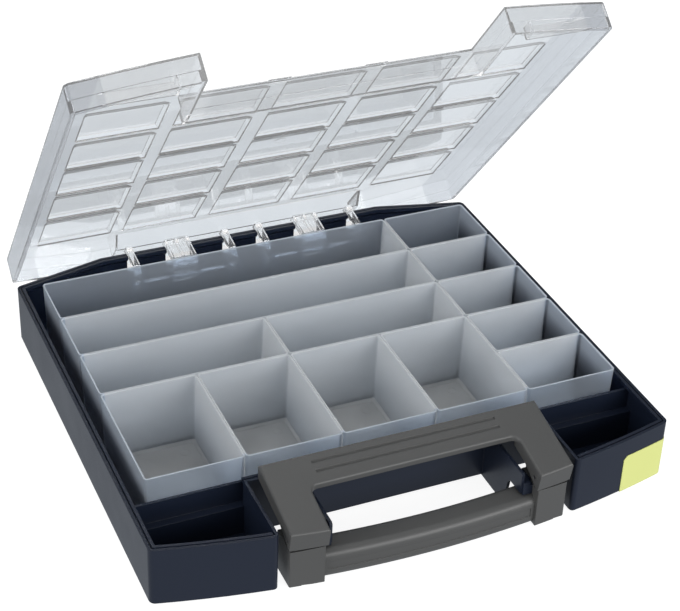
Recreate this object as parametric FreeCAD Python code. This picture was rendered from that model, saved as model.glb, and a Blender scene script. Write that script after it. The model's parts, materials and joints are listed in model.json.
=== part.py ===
import FreeCAD, Part
import math
import os

# Compartment organizer box: dark case, clear hinged lid, loose bins, carry grip and latch yoke.
# Millimetres. X to the right, Y to the back, Z up. The origin is the middle of the underside,
# under the middle of the bin field.

V = FreeCAD.Vector

# driving sizes: the module of the bins, the heights and the sheet thicknesses
COL = 78.0
ROW = 55.0
COLS = 5
ROWS = 5
BIN_TOP = 66.0
RIM_Z = 50.4
WALL = 2.4
FLOOR = 2.4
BIN_WALL = 1.2
LID_T = 1.8
YOKE_T = 2.4
PIN_R = 1.5
YOKE_PIN_R = 1.75

# clearances
RUN_FIT = 0.05
SNUG_FIT = 0.02
BIN_GAP = 0.3
LID_SEAT_GAP = 0.3
REST_GAP = 0.3
SWING_GAP = 0.4
ARM_SIDE_GAP = 0.6
TAG_GAP = 0.05

# case outline: a bowed front, straight sides and a rear that slants towards the corners
HALF_W = COLS * COL / 2 + 15.5
REAR_Y = ROWS * ROW / 2 + 46.2
SIDE_REAR_Y = REAR_Y - 19.7
REAR_FLAT_HALF = HALF_W - 79.5
FRONT_R = 842.0
CORNER_R = 5.0
FOOT_BEVEL = 1.2

# the step in front of the bins and the hand gap
DIVIDER_Y = -ROWS * ROW / 2 - 3.0
DIVIDER_T = 2.2
DIVIDER_TOP = RIM_Z - 4.4
GAP_WALL_Y = DIVIDER_Y - 6.5
GAP_HALF = 119.7
HORN_R = 3.5
LEDGE_Z = 28.0
FRONT_Y = GAP_WALL_Y - 73.7
ARC_Y = FRONT_Y + FRONT_R

# the case's rim, and the groove in it for the lid's tongue
RIM_WIDTH = 6.0
RIM_DEPTH = 3.4
RIM_SLOPE = 3.6
GROOVE_IN = 2.4
GROOVE_W = 1.2
GROOVE_DEPTH = 1.5
TONGUE_W = 0.7
TONGUE_H = 1.1
TONGUE_REAR_GAP = 16.0

# low ribs on the floor, that keep the bins in place
RIB_HALF = 1.2
RIB_H = 2.6

# lid
LID_TOP = BIN_TOP + 6.4
LID_EDGE_R = 1.2
LID_BAND_TOP = (RIM_Z + LID_TOP) / 2 - 1.4
LID_BAND_T = 3.6
NOTCH_HALF = 117.0
NOTCH_Y = DIVIDER_Y - 2.5
LID_OPEN = 50.2

# hinge, and its arms by centre x and half width: each runs between two bay walls
PIN_Y = REAR_Y - 18.3
PIN_Z = RIM_Z - 20.7
ARMS = [(16.0, 2.75), (61.0, 11.0), (104.5, 2.75)]
BLADE_MAX_HALF = 5.0
BAY_T = 2.4
BAY_FRONT_Y = PIN_Y - 12.4
BAY_TOP = PIN_Z + 7.3
BAY_BEVEL = (6.0, 12.0)
SLOT_Z = PIN_Z + 3.3
HINGE_PIN_X0 = ARMS[0][0] - ARMS[0][1] - ARM_SIDE_GAP - BAY_T
HINGE_PIN_X1 = ARMS[-1][0] + ARMS[-1][1] + ARM_SIDE_GAP + BAY_T

# latch yoke: its bar, its arms and its hinge
YOKE_HALF = 113.5
YOKE_ARM_IN = 84.2
YOKE_REAR_Y = GAP_WALL_Y - 5.0
YOKE_BAR_Y = YOKE_REAR_Y - 28.0
YOKE_REAR_TOP = LID_TOP - 4.2
YOKE_SLOPE = 15.2 / 65.0
YOKE_PIN_Y = FRONT_Y + 9.7
YOKE_PIN_Z = YOKE_REAR_TOP - 24.2

# carry grip: its bar, and the blocks at its ends
BAR_FRONT_Y = FRONT_Y + 2.7
BAR_DEPTH = 23.5
BAR_REAR_Y = BAR_FRONT_Y + BAR_DEPTH
BAR_Z = (0.5, YOKE_PIN_Z - 19.0)
BLOCK_IN = 86.0
BLOCK_OUT = 112.5
BLOCK_REAR_Y = FRONT_Y + 31.7
BLOCK_TOP = YOKE_PIN_Z - 8.0

BIG = 600.0


def box(x0, x1, y0, y1, z0, z1):
    return Part.makeBox(x1 - x0, y1 - y0, z1 - z0, V(x0, y0, z0))


def mirrored(shape):
    return shape.mirror(V(0, 0, 0), V(1, 0, 0))


def both_sides(shape):
    return [shape, mirrored(shape)]


def rod(x0, x1, y, z, r):
    return Part.makeCylinder(r, x1 - x0, V(x0, y, z), V(1, 0, 0))


def side_slab(points, x0, x1):
    """A solid with a side profile of (y, z) points, from x0 to x1."""
    ring = [V(x0, y, z) for y, z in points]
    return Part.Face(Part.makePolygon(ring + ring[:1])).extrude(V(x1 - x0, 0, 0))


def rear_y(x):
    """The case's rear outline: straight in the middle, slanted towards the corners."""
    if abs(x) <= REAR_FLAT_HALF:
        return REAR_Y
    share = (abs(x) - REAR_FLAT_HALF) / (HALF_W - REAR_FLAT_HALF)
    return REAR_Y + share * (SIDE_REAR_Y - REAR_Y)


def front_y(x, inset=0.0):
    return ARC_Y - math.sqrt((FRONT_R - inset) ** 2 - x * x)


def outline_wire(inset, z):
    """The case outline, inset from the outer wall, as a wire at height z."""
    half = HALF_W - inset
    run = HALF_W - REAR_FLAT_HALF
    drop = REAR_Y - SIDE_REAR_Y
    slant = math.hypot(run, drop)
    flat_half = REAR_FLAT_HALF - inset * (slant - run) / drop
    rear = REAR_Y - inset
    side_rear = rear - (half - flat_half) * drop / run
    front = front_y(half, inset)
    corners = [V(half, front, z), V(half, side_rear, z), V(flat_half, rear, z)]
    corners += [V(-p.x, p.y, z) for p in reversed(corners)]
    edges = [Part.makeLine(a, b) for a, b in zip(corners, corners[1:])]
    edges.append(Part.Arc(corners[-1], V(0, front_y(0, inset), z), corners[0]).toShape())
    return Part.Wire(edges)


def upright_edges(shape, x_min, x_max=BIG, y_min=-BIG, y_max=BIG):
    """The upright edges whose distance from the middle plane and whose y lie in a range."""
    found = []
    for edge in shape.Edges:
        a, b = edge.Vertexes[0].Point, edge.Vertexes[-1].Point
        upright = abs(a.x - b.x) + abs(a.y - b.y) < 1e-6
        if upright and x_min < abs(a.x) < x_max and y_min < a.y < y_max:
            found.append(edge)
    return found


def outline_prism(inset, z0, z1):
    prism = Part.Face(outline_wire(inset, z0)).extrude(V(0, 0, z1 - z0))
    return prism.makeFillet(max(CORNER_R - inset, 0.8), upright_edges(prism, HALF_W - inset - 1))


def outline_cone(inset0, z0, inset1, z1):
    """Between two insets of the outline, with sharp corners: the slope under the rim."""
    return Part.makeLoft([outline_wire(inset0, z0), outline_wire(inset1, z1)], True, True)


def case_plan(inset, z0, z1):
    """The case outline less the hand gap, inset all round."""
    gap = box(-GAP_HALF - inset, GAP_HALF + inset, -BIG, GAP_WALL_Y + inset, z0 - 1, z1 + 1)
    return outline_prism(inset, z0, z1).cut(gap)


def lid_plan(inset, z0, z1):
    """The lid outline less the latch notch, inset all round."""
    notch = box(-NOTCH_HALF - inset, NOTCH_HALF + inset, -BIG, NOTCH_Y + inset, z0 - 1, z1 + 1)
    return outline_prism(inset, z0, z1).cut(notch)


def save(name, shape):
    """One node, written once its solids are sound."""
    if not shape.isValid():
        raise ValueError(name + " is not a valid shape")
    print(name, "solids", len(shape.Solids), "volume cm3", round(shape.Volume / 1000.0, 1))
    shape.exportStep("parts/" + name + ".step")


# bins: name, first column, first row from the front, columns, rows
BINS = [("tray_long_%d" % (n + 1), 0, 4 - n, 4, 1) for n in range(2)]
BINS += [("tray_half_%d" % (n + 1), 2 * n, 2, 2, 1) for n in range(2)]
BINS += [("bin_front_%d" % (n + 1), n, 0, 1, 2) for n in range(4)]
BINS += [("bin_side_%d" % (n + 1), 4, n, 1, 1) for n in range(5)]
BIN_DRAFT = 1.5
BIN_FOOT_BEVEL = 1.0
BIN_INNER_BEVEL = 2.0
BIN_RIM_BEVEL = 0.4
BIN_CORNER_R = 3.0
MARK_R = 4.2
MARK_WIDTH = 0.9
MARK_H = 0.25
MARK_INSET = 15.0


def bin_cell(col, row, ncols, nrows):
    """x0, x1, y0, y1 of the bin's cells in the field."""
    x0 = (col - COLS / 2.0) * COL
    y0 = (row - ROWS / 2.0) * ROW
    return x0, x0 + ncols * COL, y0, y0 + nrows * ROW


def rounded_ring(cell, inset, radius, z):
    """A rounded rectangle inside a cell, as a wire at height z."""
    x0, x1, y0, y1 = cell[0] + inset, cell[1] - inset, cell[2] + inset, cell[3] - inset
    slack = radius * (1 - math.sqrt(0.5))
    arcs = [
        (V(x0, y0 + radius, z), V(x0 + slack, y0 + slack, z), V(x0 + radius, y0, z)),
        (V(x1 - radius, y0, z), V(x1 - slack, y0 + slack, z), V(x1, y0 + radius, z)),
        (V(x1, y1 - radius, z), V(x1 - slack, y1 - slack, z), V(x1 - radius, y1, z)),
        (V(x0 + radius, y1, z), V(x0 + slack, y1 - slack, z), V(x0, y1 - radius, z)),
    ]
    edges = []
    for n, (start, mid, end) in enumerate(arcs):
        edges.append(Part.Arc(start, mid, end).toShape())
        edges.append(Part.makeLine(end, arcs[(n + 1) % 4][0]))
    return Part.Wire(edges)


def tapered(cell, sections):
    """A loft through rounded rectangles given as (height, inset, corner radius)."""
    rings = [rounded_ring(cell, inset, radius, z) for z, inset, radius in sections]
    return Part.makeLoft(rings, True, True)


def bin_draft(z):
    """How far the outer wall leans in from the rim, at height z."""
    return (BIN_TOP - z) * math.tan(math.radians(BIN_DRAFT))


def make_bin(col, row, ncols, nrows):
    """An open bin with drafted walls, a bevelled foot and a moulded ring on a front bin's floor."""
    cell = bin_cell(col, row, ncols, nrows)
    foot_z = FLOOR + BIN_FOOT_BEVEL
    outer = tapered(cell, [
        (FLOOR, BIN_GAP + bin_draft(FLOOR) + BIN_FOOT_BEVEL, BIN_CORNER_R - BIN_FOOT_BEVEL),
        (foot_z, BIN_GAP + bin_draft(foot_z), BIN_CORNER_R),
        (BIN_TOP, BIN_GAP, BIN_CORNER_R),
    ])
    floor_z = FLOOR + BIN_WALL
    bevel_z = floor_z + BIN_INNER_BEVEL
    lip_z = BIN_TOP - BIN_RIM_BEVEL
    inner_r = BIN_CORNER_R - BIN_WALL
    side = BIN_GAP + BIN_WALL
    inner = tapered(cell, [
        (floor_z, side + bin_draft(floor_z) + BIN_INNER_BEVEL, inner_r),
        (bevel_z, side + bin_draft(bevel_z), inner_r),
        (lip_z, side + bin_draft(lip_z), inner_r),
        (BIN_TOP, side - BIN_RIM_BEVEL, inner_r),
        (BIN_TOP + 1, side - BIN_RIM_BEVEL, inner_r),
    ])
    shape = outer.cut(inner)
    if nrows == 2:
        centre = V(cell[1] - MARK_INSET, cell[3] - MARK_INSET, floor_z - 0.1)
        ring = Part.makeCylinder(MARK_R, MARK_H + 0.1, centre)
        shape = shape.fuse(ring.cut(Part.makeCylinder(MARK_R - MARK_WIDTH, 1, centre)))
    return shape


def bay_walls():
    """Upright walls behind the bins, one on each side of every hinge arm, bored for the pin."""
    profile = [
        (BAY_FRONT_Y, FLOOR - 1), (REAR_Y - 1, FLOOR - 1), (REAR_Y - 1, BAY_TOP),
        (BAY_FRONT_Y + BAY_BEVEL[0], BAY_TOP), (BAY_FRONT_Y, BAY_TOP - BAY_BEVEL[1]),
    ]
    walls = []
    for centre, half in ARMS:
        for x in (centre - half - ARM_SIDE_GAP - BAY_T, centre + half + ARM_SIDE_GAP):
            walls += both_sides(side_slab(profile, x, x + BAY_T))
    return walls


def locating_ribs():
    """Low ribs on the floor along the edges of every bin."""
    half_x, half_y = COLS * COL / 2 + RIB_HALF, ROWS * ROW / 2 + RIB_HALF
    ribs = box(-half_x, half_x, -half_y, half_y, FLOOR - 1, FLOOR + RIB_H)
    for _, *place in BINS:
        x0, x1, y0, y1 = bin_cell(*place)
        ribs = ribs.cut(box(x0 + RIB_HALF, x1 - RIB_HALF, y0 + RIB_HALF, y1 - RIB_HALF, 0, RIM_Z))
    return ribs


def yoke_top(y):
    """Height of the yoke's sloping top."""
    return YOKE_REAR_TOP + (y - YOKE_REAR_Y) * YOKE_SLOPE


# the front of the yoke's caps: round like the case's front, leaning back downwards
CAP_LOW_Z = YOKE_PIN_Z - 8.1
CAP_HIGH_Z = CAP_LOW_Z + 17.5
CAP_LOW_PROUD = 1.0
CAP_HIGH_PROUD = 4.2


def cap_radius(z, inset=0.0):
    lean = (CAP_HIGH_PROUD - CAP_LOW_PROUD) / (CAP_HIGH_Z - CAP_LOW_Z)
    return FRONT_R + CAP_LOW_PROUD + (z - CAP_LOW_Z) * lean - inset


def swing_room(x0, x1):
    """The room under the caps that their lower front edge needs as the yoke swings up."""
    low_y = ARC_Y - math.sqrt(cap_radius(CAP_LOW_Z) ** 2 - YOKE_ARM_IN ** 2)
    reach = math.hypot(YOKE_PIN_Y - low_y, YOKE_PIN_Z - CAP_LOW_Z)
    return rod(x0, x1, YOKE_PIN_Y, YOKE_PIN_Z, reach + SWING_GAP)


# the webs that carry the grip, in side profile, and their bosses and pegs
WEB_X = 78.0
WEB_T = 2.4
WEB_TOP = YOKE_PIN_Z + 1.2
WEB_FRONT_Y = FRONT_Y + 14.7
WEB_FRONT_BEVEL = 1.5
WEB_LOW = [(4.5, BAR_Z[1] + 2.0), (8.0, BAR_Z[1] - 1.5), (10.5, 10.0), (16.5, 3.5), (23.5, 0.0)]
WEB_REST_Y = (YOKE_REAR_Y - 16.0, YOKE_REAR_Y - 6.0)
BOSS_Y = (FRONT_Y + 13.2, FRONT_Y + 28.7)
PEG_Y = FRONT_Y + 20.7
PEG_Z = YOKE_PIN_Z - 13.5
BOSS_Z = (PEG_Z - 4.5, PEG_Z + 6.5)
PEG_R = 3.0
PEG_LENGTH = 7.0


def web():
    """One upright web from the case to the grip, with a post that the closed yoke rests on."""
    rest = [(y, yoke_top(y) - YOKE_T - REST_GAP) for y in WEB_REST_Y]
    root_y = GAP_WALL_Y + 1
    profile = [
        (root_y, 0), (root_y, WEB_TOP), (WEB_REST_Y[1], WEB_TOP), rest[1], rest[0],
        (WEB_REST_Y[0], WEB_TOP), (WEB_FRONT_Y + WEB_FRONT_BEVEL, WEB_TOP),
        (WEB_FRONT_Y, WEB_TOP - WEB_FRONT_BEVEL), (WEB_FRONT_Y, WEB_LOW[0][1]),
    ]
    profile += [(BAR_REAR_Y + behind, z) for behind, z in WEB_LOW]
    plate = side_slab(profile, WEB_X - WEB_T / 2, WEB_X + WEB_T / 2)
    boss = box(WEB_X, BLOCK_IN, BOSS_Y[0], BOSS_Y[1], BOSS_Z[0], BOSS_Z[1])
    boss = boss.cut(swing_room(YOKE_ARM_IN - SWING_GAP, BLOCK_IN + 1))
    peg = rod(WEB_X, BLOCK_IN + PEG_LENGTH, PEG_Y, PEG_Z, PEG_R)
    return plate.fuse([boss, peg])


# corner tag and the recess it sits in
TAG_X = HALF_W - 43.0
TAG_Y = FRONT_Y + 39.7
TAG_Z = (0.5, 34.5)
TAG_BEVEL = 3.0
TAG_T = 1.6
TAG_PROUD = 0.4


def tag_shape(outer_inset, inner_inset, spread):
    """A patch of the outline's skin round the right front corner."""
    z0, z1 = TAG_Z[0] - spread, TAG_Z[1] + spread
    x0, y1 = TAG_X - spread, TAG_Y + spread
    skin = outline_prism(outer_inset, z0, z1).cut(outline_prism(inner_inset, z0 - 1, z1 + 1))
    front = [V(x0, -BIG, z0), V(BIG, -BIG, z0), V(BIG, -BIG, z1), V(x0 + TAG_BEVEL, -BIG, z1),
             V(x0, -BIG, z1 - TAG_BEVEL)]
    window = Part.Face(Part.makePolygon(front + front[:1])).extrude(V(0, BIG + y1, 0))
    return skin.common(window)


def case_rooms():
    """The inside of the case, under a wider rim with a sloping underside."""
    rim_low = RIM_Z - RIM_DEPTH
    wall_low = rim_low - RIM_SLOPE
    room = outline_prism(WALL, FLOOR, wall_low)
    room = room.fuse(outline_cone(WALL, wall_low, RIM_WIDTH, rim_low))
    room = room.fuse(outline_prism(RIM_WIDTH, rim_low, RIM_Z + 1))
    divider_rear = DIVIDER_Y + DIVIDER_T
    front_wall_in = GAP_WALL_Y + WALL
    gap_half = GAP_HALF + WALL
    rooms = [
        room.common(box(-BIG, BIG, divider_rear, BIG, 0, BIG)),
        box(-gap_half, gap_half, front_wall_in, DIVIDER_Y, LEDGE_Z, rim_low),
        box(-gap_half, gap_half, GAP_WALL_Y + RIM_WIDTH, divider_rear, DIVIDER_TOP, BIG),
    ]
    for rear, z0, z1 in ((GAP_WALL_Y, 0, LEDGE_Z), (DIVIDER_Y, LEDGE_Z, DIVIDER_TOP),
                         (divider_rear, DIVIDER_TOP, BIG)):
        rooms += both_sides(room.common(box(gap_half, BIG, -BIG, rear, z0, z1)))
    # a hollow under the step in front of the bins
    hollow_half = HALF_W - 2 * WALL
    rooms.append(box(-hollow_half, hollow_half, front_wall_in, DIVIDER_Y, -1, LEDGE_Z - WALL))
    return rooms


def base_shell():
    body = case_plan(0, 0, RIM_Z)
    body = body.makeFillet(HORN_R, upright_edges(
        body, GAP_HALF - 1, x_max=GAP_HALF + 1, y_max=GAP_WALL_Y - 1))
    body = body.makeChamfer(FOOT_BEVEL, [e for e in body.Edges if e.BoundBox.ZMax < 1e-6])
    body = body.cut(case_rooms())
    body = body.fuse([locating_ribs()] + bay_walls() + both_sides(web()))
    for centre, half in ARMS:
        slot = box(centre - half - ARM_SIDE_GAP, centre + half + ARM_SIDE_GAP,
                   REAR_Y - RIM_WIDTH - 1, BIG, SLOT_Z, BIG)
        body = body.cut(both_sides(slot))
    pin_hole = rod(HINGE_PIN_X0, HINGE_PIN_X1, PIN_Y, PIN_Z, PIN_R + SNUG_FIT)
    body = body.cut(both_sides(pin_hole))
    groove = case_plan(GROOVE_IN, RIM_Z - GROOVE_DEPTH, RIM_Z + 1)
    groove = groove.cut(case_plan(GROOVE_IN + GROOVE_W, RIM_Z - GROOVE_DEPTH - 1, RIM_Z + 2))
    body = body.cut(groove)
    return body.cut(tag_shape(-1, TAG_T - TAG_PROUD + TAG_GAP, TAG_GAP))


# lid panels: x ranges on the right half (the first is the middle one), y ranges and relief
PANEL_X = [(8.5 - COL / 2, COL / 2 - 8.5), (COL / 2 + 8.8, 1.5 * COL - 8.0),
           (1.5 * COL + 8.0, HALF_W - 26.5)]
PANEL_Y = [(-2 * ROW - 20.0, -2 * ROW + 21.0), (-ROW - 20.0, -ROW + 23.0), (-21.0, 20.0),
           (ROW - 22.0, ROW + 22.0), (2 * ROW - 20.0, 2 * ROW + 27.0)]
PANEL_RELIEF = 3.0
PANEL_INNER_SLOPE = 0.8

# the dip in the lid over the hinge arms
DIP_HALF = 114.0
DIP_FRONT_Y = PIN_Y - 18.0
DIP_LOW_Y = PIN_Y - 1.0
DIP_Z = LID_TOP - 9.1

# hinge arms in side profile, as (y, z) from the pin, and their top inside the dip's sheet
EYE_R = 4.5
ARM_TOP = DIP_Z - 1.1 - PIN_Z
ARM_FRONT = [(-1.0, -2.5), (-13.9, 3.8), (-17.1, 11.2), (-7.9, ARM_TOP - 5.6), (-6.9, ARM_TOP)]
ARM_REAR = [(4.1, ARM_TOP), (-2.4, ARM_TOP - 7.7), (-10.4, 11.6), (-8.0, 7.7), (0.6, 3.1)]
ARM_SKIN_REAR = [(-4.6, ARM_TOP), (-5.9, ARM_TOP - 6.6), (-14.7, 10.9), (-12.0, 5.1), (-0.8, -1.7)]
ARM_RIB_T = 2.4

# stiffening boxes inside the front of the lid's ears
EAR_RIB_X = (HALF_W - 75.5, HALF_W - 17.5)
EAR_RIB_Y = FRONT_Y + 25.7
EAR_RIB_T = 1.2

# low pads on the notch's edge, and the round mark that the mould's gate leaves
PAD_HALF = 9.0
PAD_DEPTH = 4.5
PAD_H = 0.8
GATE_AT = (-3.0, -8.0)
GATE_R = 4.5
GATE_H = 0.6


def panel(x0, x1, y0, y1, z, relief, shrink):
    """A raised panel with sides that slope as much as they rise."""
    rings = []
    for grow, height in ((shrink, z), (0, z + relief)):
        corners = [V(x0 - grow, y0 - grow, height), V(x1 + grow, y0 - grow, height),
                   V(x1 + grow, y1 + grow, height), V(x0 - grow, y1 + grow, height)]
        rings.append(Part.makePolygon(corners + corners[:1]))
    return Part.makeLoft(rings, True, True)


def panel_places():
    columns = [PANEL_X[0]]
    for x0, x1 in PANEL_X[1:]:
        columns += [(x0, x1), (-x1, -x0)]
    return [(x0, x1, y0, y1) for x0, x1 in columns for y0, y1 in PANEL_Y]


def dip_block(grow):
    """The space over the hinge arms that the lid's outside leaves free, grown by the sheet."""
    above = LID_TOP + 20
    profile = [(DIP_FRONT_Y - grow, above), (DIP_FRONT_Y - grow, LID_TOP - grow * 0.4),
               (DIP_LOW_Y - grow * 0.5, DIP_Z - grow), (BIG, DIP_Z - grow), (BIG, above)]
    return side_slab(profile, -DIP_HALF - grow, DIP_HALF + grow)


def rim_sweep(clearance):
    """What the case's rear rim sweeps in the lid as the lid turns on its pins."""
    end = HALF_W + 1
    rise = RIM_Z - PIN_Z
    ring = [V(x, math.hypot(max(rear_y(x) - PIN_Y, 0), rise) + clearance, 0)
            for x in (0, REAR_FLAT_HALF, (REAR_FLAT_HALF + HALF_W) / 2, end)]
    outline = [V(0, 0, 0)] + ring + [V(end, 0, 0)]
    face = Part.Face(Part.makePolygon(outline + outline[:1]))
    half = face.revolve(V(0, 0, 0), V(1, 0, 0), 360)
    half.translate(V(0, PIN_Y, PIN_Z))
    return both_sides(half)


def hinge_arm(centre, half):
    """A gooseneck: a solid blade if narrow, else a skin with three ribs."""
    def slab(points, x0, x1):
        return side_slab([(PIN_Y + y, PIN_Z + z) for y, z in points], x0, x1)
    x0, x1 = centre - half, centre + half
    blade = ARM_FRONT + ARM_REAR
    eye = rod(x0, x1, PIN_Y, PIN_Z, EYE_R)
    if half < BLADE_MAX_HALF:
        return eye.fuse(slab(blade, x0, x1))
    ribs = [slab(blade, x, x + ARM_RIB_T) for x in (x0, centre - ARM_RIB_T / 2, x1 - ARM_RIB_T)]
    return eye.fuse(ribs + [slab(ARM_FRONT + ARM_SKIN_REAR, x0, x1)])


def lid_sheet():
    """The lid's outer sheet with its panels, closed, before anything is added inside."""
    seat = RIM_Z + LID_SEAT_GAP
    under = LID_TOP - LID_T
    shell = lid_plan(0, seat, LID_TOP)
    top_edges = [e for e in shell.Edges if e.BoundBox.ZMin > LID_TOP - 1e-6]
    shell = shell.makeFillet(LID_EDGE_R, top_edges)
    shell = shell.cut(dip_block(0))
    places = panel_places()
    shell = shell.fuse([panel(*place, LID_TOP, PANEL_RELIEF, PANEL_RELIEF) for place in places])
    pad_y = NOTCH_Y + LID_EDGE_R
    pad = box(COL / 2 - PAD_HALF, COL / 2 + PAD_HALF, pad_y, pad_y + PAD_DEPTH,
              LID_TOP - 1, LID_TOP + PAD_H)
    gate = Part.makeCylinder(GATE_R, GATE_H + 1, V(*GATE_AT, LID_TOP + PANEL_RELIEF - 1))
    shell = shell.fuse(both_sides(pad) + [gate])
    room = lid_plan(LID_BAND_T, seat - 1, LID_BAND_TOP).fuse(lid_plan(LID_T, LID_BAND_TOP, under))
    shell = shell.cut(room.cut(dip_block(LID_T)))
    inner_shrink = PANEL_RELIEF - PANEL_INNER_SLOPE
    return shell.cut([panel(*place, under, PANEL_RELIEF, inner_shrink) for place in places])


def ear_box():
    """A stiffening box inside the front of the right ear."""
    seat = RIM_Z + LID_SEAT_GAP
    x0, x1 = EAR_RIB_X
    ear = box(x0, x1, -BIG, EAR_RIB_Y, seat, LID_BAND_TOP)
    ear = ear.cut(box(x0 + EAR_RIB_T, x1 - EAR_RIB_T, -BIG, EAR_RIB_Y - EAR_RIB_T, 0, BIG))
    return ear.common(outline_prism(WALL, seat, LID_BAND_TOP))


def tongue():
    """The lid's tongue on the right side, that drops into the rim's groove."""
    seat = RIM_Z + LID_SEAT_GAP
    inset = GROOVE_IN + (GROOVE_W - TONGUE_W) / 2
    ring = outline_prism(inset, seat - TONGUE_H, seat + 1)
    ring = ring.cut(outline_prism(inset + TONGUE_W, seat - TONGUE_H - 1, seat + 2))
    return ring.common(box(GAP_HALF + RIM_WIDTH, BIG, -BIG, PIN_Y - TONGUE_REAR_GAP, 0, BIG))


def lid():
    shell = lid_sheet()
    shell = shell.fuse(both_sides(ear_box()) + both_sides(tongue()))
    shell = shell.cut(rim_sweep(LID_SEAT_GAP))
    arms = []
    for centre, half in ARMS:
        arms += both_sides(hinge_arm(centre, half))
    shell = shell.fuse(arms)
    pin_hole = rod(HINGE_PIN_X0, HINGE_PIN_X1, PIN_Y, PIN_Z, PIN_R + RUN_FIT)
    shell = shell.cut(both_sides(pin_hole))
    shell.rotate(V(0, PIN_Y, PIN_Z), V(-1, 0, 0), LID_OPEN)
    return shell


# carry grip: roundings and the groove along its front
BAR_CORNER_R = 6.0
BAR_GROOVE_Z = (0.36 * BAR_Z[1], 0.68 * BAR_Z[1])
BAR_GROOVE_DEPTH = 0.7
BAR_GROOVE_END = 3.0
BLOCK_EDGE_R = 1.2
BLOCK_WALL = 3.0

# the lugs on the blocks that hold the yoke's pins
LUG_X = (89.0, 99.0)
LUG_R = 3.4
LUG_POST_Y = (BLOCK_REAR_Y - 7.0, BLOCK_REAR_Y - 1.0)
LUG_ROOT = 3.0


def ring_wedge(section, half_x):
    """A (y, z) section swept along the front arc, within half_x of the middle."""
    angle = math.degrees(math.asin(half_x / (ARC_Y - BAR_FRONT_Y)))
    start = section.copy()
    start.rotate(V(0, ARC_Y, 0), V(0, 0, 1), -angle)
    return start.revolve(V(0, ARC_Y, 0), V(0, 0, 1), 2 * angle)


def section_face(y0, y1, z0, z1):
    ring = [V(0, y0, z0), V(0, y1, z0), V(0, y1, z1), V(0, y0, z1), V(0, y0, z0)]
    return Part.Face(Part.makePolygon(ring))


def grip_bar():
    bar = ring_wedge(section_face(BAR_FRONT_Y, BAR_REAR_Y, *BAR_Z), BLOCK_IN + 1)
    bar = bar.makeFillet(BAR_CORNER_R, [e for e in bar.Edges if e.Length > BLOCK_IN])
    groove = section_face(BAR_FRONT_Y - 1, BAR_FRONT_Y + BAR_GROOVE_DEPTH, *BAR_GROOVE_Z)
    bar = bar.cut(ring_wedge(groove, BLOCK_IN - BAR_GROOVE_END))
    return bar.common(box(-BLOCK_IN - 0.5, BLOCK_IN + 0.5, -BIG, BIG, 0, BIG))


def grip_block():
    """The right end of the grip: a hollow block with a lug for the yoke's pin."""
    block = box(BLOCK_IN, BLOCK_OUT, -BIG, BLOCK_REAR_Y, 0, BLOCK_TOP)
    block = block.common(Part.makeCylinder(FRONT_R, BLOCK_TOP, V(0, ARC_Y, 0)))
    foot = [e for e in block.Edges if e.BoundBox.ZMax < 1]
    outer_front = upright_edges(block, BLOCK_OUT - 0.1, y_max=BLOCK_REAR_Y - 1)
    block = block.makeFillet(BLOCK_EDGE_R, foot + outer_front)
    room = swing_room(0, BIG)
    block = block.cut(room)
    block = block.cut(box(BLOCK_IN + BLOCK_WALL, BLOCK_OUT - BLOCK_WALL,
                          front_y(BLOCK_OUT) + BLOCK_WALL, BLOCK_REAR_Y - BLOCK_WALL,
                          -1, room.BoundBox.ZMin - BLOCK_WALL))
    high = YOKE_PIN_Z + LUG_R
    block = block.fuse([
        rod(*LUG_X, YOKE_PIN_Y, YOKE_PIN_Z, LUG_R),
        box(*LUG_X, YOKE_PIN_Y, LUG_POST_Y[1], YOKE_PIN_Z - LUG_R, high),
        box(*LUG_X, *LUG_POST_Y, BLOCK_TOP - LUG_ROOT, high),
    ])
    block = block.cut(rod(0, BIG, YOKE_PIN_Y, YOKE_PIN_Z, YOKE_PIN_R + SNUG_FIT))
    return block.cut(rod(0, BLOCK_IN + PEG_LENGTH + 1, PEG_Y, PEG_Z, PEG_R + RUN_FIT))


def handle_grip():
    return grip_bar().fuse(both_sides(grip_block()))


# latch yoke in side profile, its roundings and the grooves along its bar
YOKE_FRONT_Y = FRONT_Y - 1.3
YOKE_ARM_LOW = [(YOKE_FRONT_Y, CAP_LOW_Z), (FRONT_Y + 6.1, CAP_LOW_Z),
                (FRONT_Y + 10.7, YOKE_PIN_Z - 5.0), (FRONT_Y + 24.7, YOKE_PIN_Z + 2.5)]
YOKE_REAR_LOW_Z = YOKE_REAR_TOP - 12.2
YOKE_LIP_Z = yoke_top(YOKE_BAR_Y) - 4.65
YOKE_INNER_R = 6.0
YOKE_EDGE_R = 2.0
YOKE_GROOVES = (YOKE_REAR_Y - 8.5, YOKE_REAR_Y - 17.0)
YOKE_GROOVE_HALF = 75.0
YOKE_GROOVE_W = 2.6
YOKE_GROOVE_DEPTH = 0.9
YOKE_PIN_INSET = 0.4


def cap_cone(inset):
    high = 2 * YOKE_REAR_TOP
    return Part.makeCone(cap_radius(0, inset), cap_radius(high, inset), high, V(0, ARC_Y, 0))


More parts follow.
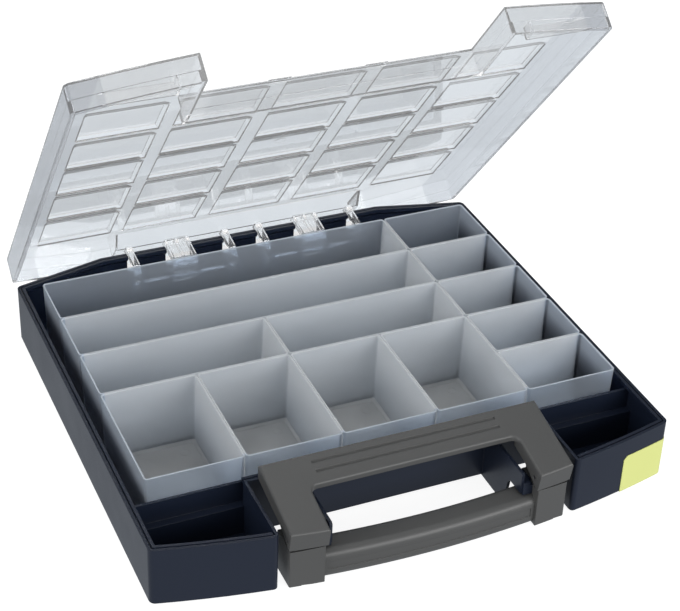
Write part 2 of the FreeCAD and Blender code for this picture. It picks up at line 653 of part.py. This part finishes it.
def yoke_outside():
    """The yoke as if it were solid, with rounded top edges."""
    rear = [(YOKE_REAR_Y, YOKE_REAR_LOW_Z), (YOKE_REAR_Y, YOKE_REAR_TOP)]
    arm = side_slab(rear + [(YOKE_FRONT_Y, yoke_top(YOKE_FRONT_Y))] + YOKE_ARM_LOW,
                    YOKE_ARM_IN, YOKE_HALF).common(cap_cone(0))
    bar = side_slab(rear + [(YOKE_BAR_Y, yoke_top(YOKE_BAR_Y)), (YOKE_BAR_Y, YOKE_LIP_Z)],
                    -YOKE_ARM_IN - 1, YOKE_ARM_IN + 1)
    shape = bar.fuse(both_sides(arm)).removeSplitter()
    shape = shape.makeFillet(YOKE_INNER_R, upright_edges(
        shape, YOKE_ARM_IN - 0.1, x_max=YOKE_ARM_IN + 0.1, y_min=YOKE_BAR_Y - 0.1))

    def on_top(edge):
        ends = [edge.FirstParameter, edge.LastParameter]
        points = [edge.valueAt(at) for at in ends + [sum(ends) / 2]]
        return all(abs(p.z - yoke_top(p.y)) < 0.01 for p in points)

    return shape.makeFillet(YOKE_EDGE_R, [e for e in shape.Edges if on_top(e)])


def latch_yoke():
    inner_rear = YOKE_REAR_Y - YOKE_T
    inner_front = YOKE_BAR_Y + YOKE_T
    arm_room = side_slab([(inner_rear, yoke_top(inner_rear) - YOKE_T),
                          (YOKE_FRONT_Y, yoke_top(YOKE_FRONT_Y) - YOKE_T),
                          (YOKE_FRONT_Y, 0), (inner_rear, 0)],
                         YOKE_ARM_IN + YOKE_T, YOKE_HALF - YOKE_T).common(cap_cone(YOKE_T))
    bar_room = side_slab([(inner_rear, 0), (inner_rear, yoke_top(inner_rear) - YOKE_T),
                          (inner_front, yoke_top(inner_front) - YOKE_T), (inner_front, 0)],
                         -YOKE_HALF + YOKE_T, YOKE_HALF - YOKE_T)
    shape = yoke_outside().cut([bar_room] + both_sides(arm_room))
    for y in YOKE_GROOVES:
        half, top = YOKE_GROOVE_W / 2, yoke_top(y)
        shape = shape.cut(box(-YOKE_GROOVE_HALF, YOKE_GROOVE_HALF, y - half, y + half,
                              top - YOKE_GROOVE_DEPTH, top + 5))
    eye = rod(0, BIG, YOKE_PIN_Y, YOKE_PIN_Z, YOKE_PIN_R + RUN_FIT)
    return shape.cut(both_sides(eye))


def hinge_pin():
    return rod(HINGE_PIN_X0, HINGE_PIN_X1, PIN_Y, PIN_Z, PIN_R)


def yoke_pin():
    return rod(YOKE_ARM_IN + YOKE_PIN_INSET, YOKE_HALF - YOKE_PIN_INSET,
               YOKE_PIN_Y, YOKE_PIN_Z, YOKE_PIN_R)


os.makedirs("parts", exist_ok=True)
save("base_shell", base_shell())
save("lid", lid())
save("latch_yoke", latch_yoke())
save("handle_grip", handle_grip())
save("corner_tag", tag_shape(-TAG_PROUD, TAG_T - TAG_PROUD, 0))
for side, place in (("right", lambda shape: shape), ("left", mirrored)):
    save("hinge_pin_" + side, place(hinge_pin()))
    save("yoke_pin_" + side, place(yoke_pin()))
for name, *place in BINS:
    save(name, make_bin(*place))
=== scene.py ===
import json
import math

import bpy
from mathutils import Matrix, Vector

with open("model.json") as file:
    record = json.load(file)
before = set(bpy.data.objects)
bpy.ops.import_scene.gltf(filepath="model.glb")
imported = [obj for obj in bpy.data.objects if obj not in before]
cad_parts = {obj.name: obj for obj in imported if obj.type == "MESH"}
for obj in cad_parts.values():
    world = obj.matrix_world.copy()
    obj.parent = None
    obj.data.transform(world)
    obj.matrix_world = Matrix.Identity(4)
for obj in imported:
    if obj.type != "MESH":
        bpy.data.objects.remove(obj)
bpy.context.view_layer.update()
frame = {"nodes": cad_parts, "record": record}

# The looks of the compartment organizer box: moulded plastics, a pale studio and the photo's camera.
# Metres. X to the right, Y to the back, Z up.

# camera, as found from the photo, with angles in degrees
CAMERA_AT = (-0.47936, -1.08542, 0.87252)
CAMERA_AZIMUTH = 24.521
CAMERA_ELEVATION = 33.532
CAMERA_ROLL = -2.372
LENS_MM = 93.576
SENSOR_MM = 36.0
FARTHEST_SEEN = 20.0

# colours in sRGB, from 0 to 1
NAVY = (0.102, 0.127, 0.184)
GREY = (0.288, 0.288, 0.286)
TAG = (0.837, 0.858, 0.540)
STEEL = (0.620, 0.620, 0.630)
SMOKE = (0.960, 0.968, 0.976)
# the bins' outermost walls and those down in the gap beside the case get darker tints: painted shade
SMOKE_EDGE_PAINTED_SHADE = (0.930, 0.955, 0.985)
SMOKE_GAP_PAINTED_SHADE = (0.700, 0.720, 0.760)
SMOKE_FLOOR = (0.930, 0.930, 0.925)
CLEAR = (0.950, 0.950, 0.950)
# the lid's side bands get a darker tint: painted shade
CLEAR_SIDE_PAINTED_SHADE = (0.888, 0.890, 0.896)
WHITE = (1.0, 1.0, 1.0)
FLOOR_PAINT = (0.950, 0.950, 0.950)

# how far each colour strays from place to place, as a share of it
OPAQUE_SPREAD = 0.06
STEEL_SPREAD = 0.05
BIN_SPREAD = 0.02
BIN_FLOOR_SPREAD = 0.06
LID_SPREAD = 0.004
STUDIO_SPREAD = 0.002

# how many times a noise repeats in a metre: slow ones for colour, gloss and haze, fine ones for relief
TINT_SCALE = 9.0
PLASTIC_GLOSS_SCALE = 30.0
LID_GLOSS_SCALE = 40.0
STEEL_GLOSS_SCALE = 60.0
FLOOR_HAZE_SCALE = 38.0
CLEAR_RELIEF_SCALE = 700.0
GRAIN_SCALE = 1400.0

# how many finer layers each noise has
NOISE_DETAIL = 3.0

# the moulded relief: its depth, and how strongly it shows on the clear plastics
RELIEF_DEPTH = 0.0002
CLEAR_RELIEF = 0.10

# edges that turn by more than this stay sharp, and a softened edge is worked out from so many samples
SHARP_ANGLE = math.radians(28)
EDGE_SAMPLES = 4

# roughness: the lowest and highest of the steel and the lid, the bins', and how far that of an opaque
# plastic strays to either side
STEEL_ROUGHNESS = (0.25, 0.38)
LID_ROUGHNESS = (0.021, 0.039)
BIN_ROUGHNESS = 0.25
ROUGHNESS_SPREAD = 0.05

# refractive indices for what is seen through the lid and the bins, how much the bins blur it, and the
# index and the strength of the bins' gloss
LID_BEND = 1.58
BIN_BEND = 1.18
BIN_BLUR = 0.28
GLOSS_BEND = 1.45
BIN_GLOSS = 0.6

# the bins' floors lie below the first height and their rims above the second
BIN_FLOOR_TOP = 0.0055
BIN_RIM_LOW = 0.0653

# the bins' walls beyond these distances from the middle stand against the dark case, and there they get
# painted shade: a darker, bluer tint and less haze
EDGE_X = 0.1912
EDGE_Y = 0.1337

# at the sides those walls go down into the narrow gap beside the case, where painted shade darkens them
# from the first height down to the second
GAP_TOP = 0.056
GAP_DARKEST = 0.034

# the lid's side bands begin at this distance from the middle, and there they get a darker tint: painted
# shade
LID_SIDE_X = 0.186

# how much of the light one surface scatters when it is seen squarely: the bins' walls, their floors from
# the clearest to the milkiest place, their rims, and the lid
WALL_HAZE = 0.250
FLOOR_HAZE = (0.35, 1.00)
RIM_HAZE = 0.52
LID_HAZE = 0.042

# the shares of that haze on the outermost walls, on the rear ones and in the gap beside the case; the
# lowered haze there is painted shade, as it lets the dark case show through
EDGE_SHADE_SHARE = 0.36
REAR_SHARE = 0.58
GAP_SHADE_SHARE = 0.12

# the share of the haze that light meets on its way to other surfaces
HAZE_SHADOW = 0.16

# haze grows with the slant at which a surface is seen, down to this cosine of the angle
LEAST_COSINE = 0.40

# the floor as the camera sees it: the strength of its own white, the share that takes light and shadow,
# its size and its height
FLOOR_WHITE = 1.36
FLOOR_SHADOW = 0.35
FLOOR_SIZE = 8.0
FLOOR_Z = -0.0005

# how bright the floor and the sky are: first seen through plastic, which is also the sky seen straight,
# then to light between surfaces (glow) and in reflections (sheen)
SEEN_THROUGH = 1.0
FLOOR_GLOW = 0.55
SKY_GLOW = 0.46
FLOOR_SHEEN = 0.55
SKY_SHEEN = 0.25

# linear tints: the floor's in reflections, and the sky's to light between surfaces and in reflections
SHEEN_TINT = (0.88, 0.94, 1.0, 1.0)
SKY_TINT = (0.93, 0.97, 1.0, 1.0)

# soft lamps that face the middle of the object: name, place, width and height, power in watts
MIDDLE = (0.0, 0.0, 0.08)
LAMPS = [
    ("softbox above", (-0.2, 0.1, 1.9), (1.8, 1.8), 8.5),
    ("softbox front", (0.9, -2.2, 0.85), (2.0, 1.2), 42.0),
    ("softbox left", (-2.2, -0.6, 0.9), (1.2, 1.0), 24.0),
]


def linear(colour):
    """An sRGB colour as the linear values that the shaders take."""
    parts = [c / 12.92 if c <= 0.04045 else ((c + 0.055) / 1.055) ** 2.4 for c in colour]
    return (*parts, 1.0)


class Nodes:
    """The node tree of a material or a world, with short ways to add and join its nodes."""

    def __init__(self, owner, output):
        self.owner = owner
        self.owner.use_nodes = True
        self.tree = owner.node_tree
        self.tree.nodes.clear()
        self.out = self.add(output)

    def add(self, kind, **inputs):
        """A node of this kind, with its inputs filled by name. An underscore stands for a space."""
        node = self.tree.nodes.new("ShaderNode" + kind)
        for name, value in inputs.items():
            self.fill(node.inputs[name.replace("_", " ")], value)
        return node

    def fill(self, socket, value):
        """Joins another node's output to a socket, or sets the socket's own value."""
        if isinstance(value, bpy.types.NodeSocket):
            self.tree.links.new(value, socket)
        else:
            socket.default_value = value

    def finish(self, shader):
        """Joins the last shader to the output, and gives back the material or the world."""
        self.fill(self.out.inputs["Surface"], shader.outputs[0])
        return self.owner

    def math(self, operation, *values):
        node = self.add("Math")
        node.operation = operation
        for socket, value in zip(node.inputs, values):
            self.fill(socket, value)
        return node.outputs[0]

    def beyond(self, value, limit):
        """1 where a value is further from zero than the limit, else 0."""
        return self.math("GREATER_THAN", self.math("ABSOLUTE", value), limit)

    def between(self, share, first, second):
        """The first number, moved by a share towards the second."""
        return self.add("MapRange", Value=share, To_Min=first, To_Max=second).outputs["Result"]

    def blend(self, share, first, second):
        """The first colour, with a share of the second."""
        node = self.add("Mix")
        node.data_type = "RGBA"
        for name, value in (("Factor", share), ("A", first), ("B", second)):
            self.fill(node.inputs[name], value)
        return node.outputs["Result"]

    def mix(self, share, first, second):
        """The first shader, with a share of the second."""
        node = self.add("MixShader", Fac=share)
        self.fill(node.inputs[1], first.outputs[0])
        self.fill(node.inputs[2], second.outputs[0])
        return node

    def place(self):
        """X, Y and Z in the object's own coordinates."""
        return self.add("SeparateXYZ", Vector=self.add("TexCoord").outputs["Object"]).outputs

    def grain(self, scale, low, high):
        """A noise in object space, mapped from low to high."""
        place = self.add("TexCoord").outputs["Object"]
        noise = self.add("TexNoise", Vector=place, Scale=scale, Detail=NOISE_DETAIL).outputs["Fac"]
        return self.between(noise, low, high)

    def relief(self, scale, strength, edge=0.0):
        """A normal with fine moulded texture, on edges rounded by the given radius."""
        height = self.grain(scale, 0.0, 1.0)
        bump = self.add("Bump", Height=height, Strength=strength, Distance=RELIEF_DEPTH)
        if edge:
            rounded = self.add("Bevel", Radius=edge)
            rounded.samples = EDGE_SAMPLES
            self.fill(bump.inputs["Normal"], rounded.outputs["Normal"])
        return bump.outputs["Normal"]

    def tint(self, colour, spread):
        """The colour, a little lighter and darker from place to place."""
        shade = self.grain(TINT_SCALE, 1.0 - spread, 1.0 + spread)
        mixed = self.add("VectorMath", Vector=linear(colour)[:3])
        mixed.operation = "SCALE"
        self.fill(mixed.inputs["Scale"], shade)
        return mixed.outputs["Vector"]


def material_nodes(name):
    return Nodes(bpy.data.materials.new(name), "OutputMaterial")


def opaque_plastic(name, colour, shine, roughness, grain, edge):
    """Moulded plastic with a fine grain, its edges softened by the given radius."""
    n = material_nodes(name)
    return n.finish(n.add(
        "BsdfPrincipled",
        Base_Color=n.tint(colour, OPAQUE_SPREAD),
        Specular_IOR_Level=shine,
        Roughness=n.grain(PLASTIC_GLOSS_SCALE, roughness - ROUGHNESS_SPREAD,
                          roughness + ROUGHNESS_SPREAD),
        Normal=n.relief(GRAIN_SCALE, grain, edge),
    ))


def steel(name):
    n = material_nodes(name)
    return n.finish(n.add("BsdfPrincipled", Base_Color=n.tint(STEEL, STEEL_SPREAD), Metallic=1.0,
                          Roughness=n.grain(STEEL_GLOSS_SCALE, *STEEL_ROUGHNESS)))


def unseen(n):
    """1 for rays that carry light between surfaces, 0 for those that make the picture."""
    path = n.add("LightPath").outputs
    return n.math("MAXIMUM", path["Is Shadow Ray"], path["Is Diffuse Ray"])


def slanted(n, haze):
    """The share that a surface scatters: more where it is seen at a slant, through more plastic."""
    facing = n.add("LayerWeight", Blend=0.5).outputs["Facing"]
    cosine = n.math("MAXIMUM", n.math("SUBTRACT", 1.0, facing), LEAST_COSINE)
    clear = n.math("POWER", n.math("SUBTRACT", 1.0, haze), n.math("DIVIDE", 1.0, cosine))
    return n.math("MULTIPLY", n.math("SUBTRACT", 1.0, clear), n.between(unseen(n), 1.0, HAZE_SHADOW))


def scatter(n, tint, normal):
    """Light sent back and light let through in equal shares, both in all directions."""
    return n.mix(0.5, n.add("BsdfDiffuse", Color=tint, Normal=normal),
                 n.add("BsdfTranslucent", Color=tint, Normal=normal))


def lid_plastic(name):
    """Clear moulded plastic that bends the light that is seen through it, and casts a faint shadow."""
    n = material_nodes(name)
    at_side = n.beyond(n.place()["X"], LID_SIDE_X)
    # the side bands get a darker tint: painted shade
    tint = n.blend(at_side, n.tint(CLEAR, LID_SPREAD), n.tint(CLEAR_SIDE_PAINTED_SHADE, LID_SPREAD))
    glass = n.add("BsdfPrincipled", Base_Color=tint, IOR=LID_BEND, Transmission_Weight=1.0,
                  Roughness=n.grain(LID_GLOSS_SCALE, *LID_ROUGHNESS))
    sheet = n.mix(unseen(n), glass, n.add("BsdfTransparent", Color=tint))
    normal = n.relief(CLEAR_RELIEF_SCALE, CLEAR_RELIEF)
    return n.finish(n.mix(slanted(n, LID_HAZE), sheet, scatter(n, tint, normal)))


def bin_places(n):
    """Shares that reach 1 on floors, rims, outermost walls, rear walls and down in the side gap; the
    outermost walls and the gap carry painted shade.
    """
    place = n.place()
    at_end = n.beyond(place["Y"], EDGE_Y)
    at_edge = n.math("MAXIMUM", n.beyond(place["X"], EDGE_X), at_end)
    # painted shade in the side gap, growing from the first height down to the second
    gap_shade_ramp = n.add("MapRange", Value=place["Z"], From_Min=GAP_TOP, From_Max=GAP_DARKEST).outputs["Result"]
    return {
        "floor": n.math("LESS_THAN", place["Z"], BIN_FLOOR_TOP),
        "rim": n.math("GREATER_THAN", place["Z"], BIN_RIM_LOW),
        "edge": at_edge,
        "rear": n.math("GREATER_THAN", place["Y"], EDGE_Y),
        "gap": n.math("MULTIPLY", n.math("SUBTRACT", at_edge, at_end), gap_shade_ramp),
    }


def bin_tint(n, places):
    # darker tints on the outermost walls and down in the gap: painted shade
    wall = n.blend(places["edge"], n.tint(SMOKE, BIN_SPREAD), n.tint(SMOKE_EDGE_PAINTED_SHADE, BIN_SPREAD))
    wall = n.blend(places["gap"], wall, n.tint(SMOKE_GAP_PAINTED_SHADE, BIN_SPREAD))
    return n.blend(places["floor"], wall, n.tint(SMOKE_FLOOR, BIN_FLOOR_SPREAD))


def bin_haze(n, places):
    """The share that a bin's surface scatters when it is seen squarely, lowered as painted shade on the
    outermost walls and in the gap.
    """
    share = n.between(places["edge"], 1.0, EDGE_SHADE_SHARE)
    share = n.between(places["rear"], share, REAR_SHARE)
    share = n.between(places["gap"], share, GAP_SHADE_SHARE)
    floor_haze = n.grain(FLOOR_HAZE_SCALE, *FLOOR_HAZE)
    body = n.math("MULTIPLY", n.between(places["floor"], WALL_HAZE, floor_haze), share)
    return n.math("MAXIMUM", body, n.math("MULTIPLY", places["rim"], RIM_HAZE))


def bin_plastic(name):
    """Smoky plastic: a share of the light goes through, a little blurred, and the rest is scattered."""
    n = material_nodes(name)
    places = bin_places(n)
    tint = bin_tint(n, places)
    normal = n.relief(CLEAR_RELIEF_SCALE, CLEAR_RELIEF)
    blurred = n.add("BsdfRefraction", Color=tint, IOR=BIN_BEND, Roughness=BIN_BLUR)
    clear = n.mix(unseen(n), blurred, n.add("BsdfTransparent", Color=tint))
    plastic = n.mix(slanted(n, bin_haze(n, places)), clear, scatter(n, tint, normal))
    fresnel = n.add("Fresnel", IOR=GLOSS_BEND, Normal=normal).outputs[0]
    gloss = n.add("BsdfGlossy", Roughness=BIN_ROUGHNESS, Normal=normal)
    return n.finish(n.mix(n.math("MULTIPLY", fresnel, BIN_GLOSS), plastic, gloss))


def studio_floor(name):
    """White with the object's faint shadow where the camera sees it, and a soft glow to other light."""
    n = material_nodes(name)
    path = n.add("LightPath").outputs
    strength = n.between(path["Is Transmission Ray"],
                         n.between(path["Is Glossy Ray"], FLOOR_GLOW, FLOOR_SHEEN), SEEN_THROUGH)
    colour = n.blend(path["Is Glossy Ray"], n.tint(WHITE, STUDIO_SPREAD), SHEEN_TINT)
    glow = n.add("Emission", Color=colour, Strength=strength)
    white = n.add("Emission", Color=n.tint(WHITE, STUDIO_SPREAD), Strength=FLOOR_WHITE)
    lit = n.add("BsdfDiffuse", Color=n.tint(FLOOR_PAINT, STUDIO_SPREAD))
    return n.finish(n.mix(path["Is Camera Ray"], glow, n.mix(FLOOR_SHADOW, white, lit)))


def studio_sky(name):
    """White where it is seen, also through clear plastic, and a softer sky to other light."""
    n = Nodes(bpy.data.worlds.new(name), "OutputWorld")
    path = n.add("LightPath").outputs
    seen = n.math("MAXIMUM", path["Is Camera Ray"], path["Is Transmission Ray"])
    strength = n.between(seen, n.between(path["Is Glossy Ray"], SKY_GLOW, SKY_SHEEN), SEEN_THROUGH)
    return n.finish(n.add("Background", Color=n.blend(seen, SKY_TINT, linear(WHITE)),
                          Strength=strength))


def area_light(name, at, towards, size, power):
    lamp = bpy.data.lights.new(name, "AREA")
    lamp.shape = "RECTANGLE"
    lamp.size, lamp.size_y = size
    lamp.energy = power
    lamp.use_shadow = True
    obj = bpy.data.objects.new(name, lamp)
    bpy.context.scene.collection.objects.link(obj)
    obj.location = at
    obj.rotation_euler = (Vector(towards) - Vector(at)).to_track_quat("-Z", "Y").to_euler()


MATERIALS = {
    "case_navy": opaque_plastic("case navy", NAVY, shine=0.30, roughness=0.34, grain=0.25, edge=0.0006),
    "handle_grey": opaque_plastic("handle grey", GREY, shine=0.50, roughness=0.42, grain=0.25, edge=0.0008),
    "tag_yellow": opaque_plastic("tag yellow", TAG, shine=0.30, roughness=0.50, grain=0.15, edge=0.0005),
    "pin_steel": steel("pin steel"),
    "bin_smoke": bin_plastic("bin smoke"),
    "lid_clear": lid_plastic("lid clear"),
}

for entry in frame["record"]["subparts"]:
    node = frame["nodes"][entry["node"]]
    node.data.materials.clear()
    node.data.materials.append(MATERIALS[entry["material_slot"]])
    for face in node.data.polygons:
        face.use_smooth = True
    node.data.set_sharp_from_angle(angle=SHARP_ANGLE)

for lamp_name, lamp_at, lamp_size, lamp_power in LAMPS:
    area_light(lamp_name, lamp_at, MIDDLE, lamp_size, lamp_power)

bpy.context.scene.world = studio_sky("studio")

bpy.ops.mesh.primitive_plane_add(size=FLOOR_SIZE, location=(0.0, 0.0, FLOOR_Z))
floor = bpy.context.object
floor.name = "studio floor"
floor.data.materials.append(studio_floor("studio white"))

# the camera, turned by azimuth and elevation and then rolled about its own view
azimuth, elevation, roll = (math.radians(v) for v in
                            (CAMERA_AZIMUTH, CAMERA_ELEVATION, CAMERA_ROLL))
ahead = Vector((math.cos(elevation) * math.sin(azimuth),
                math.cos(elevation) * math.cos(azimuth), -math.sin(elevation)))
level = ahead.cross(Vector((0, 0, 1))).normalized()
right = level * math.cos(roll) + ahead.cross(level) * math.sin(roll)
up = right.cross(ahead)
turn = Matrix((right, up, -ahead)).transposed().to_4x4()
lens = bpy.data.cameras.new("camera")
lens.lens = LENS_MM
lens.sensor_fit = "HORIZONTAL"
lens.sensor_width = SENSOR_MM
lens.clip_end = FARTHEST_SEEN
camera = bpy.data.objects.new("camera", lens)
camera.matrix_world = Matrix.Translation(CAMERA_AT) @ turn
bpy.context.scene.collection.objects.link(camera)
bpy.context.scene.camera = camera

bpy.context.scene.view_settings.view_transform = "Standard"

bpy.context.view_layer.update()
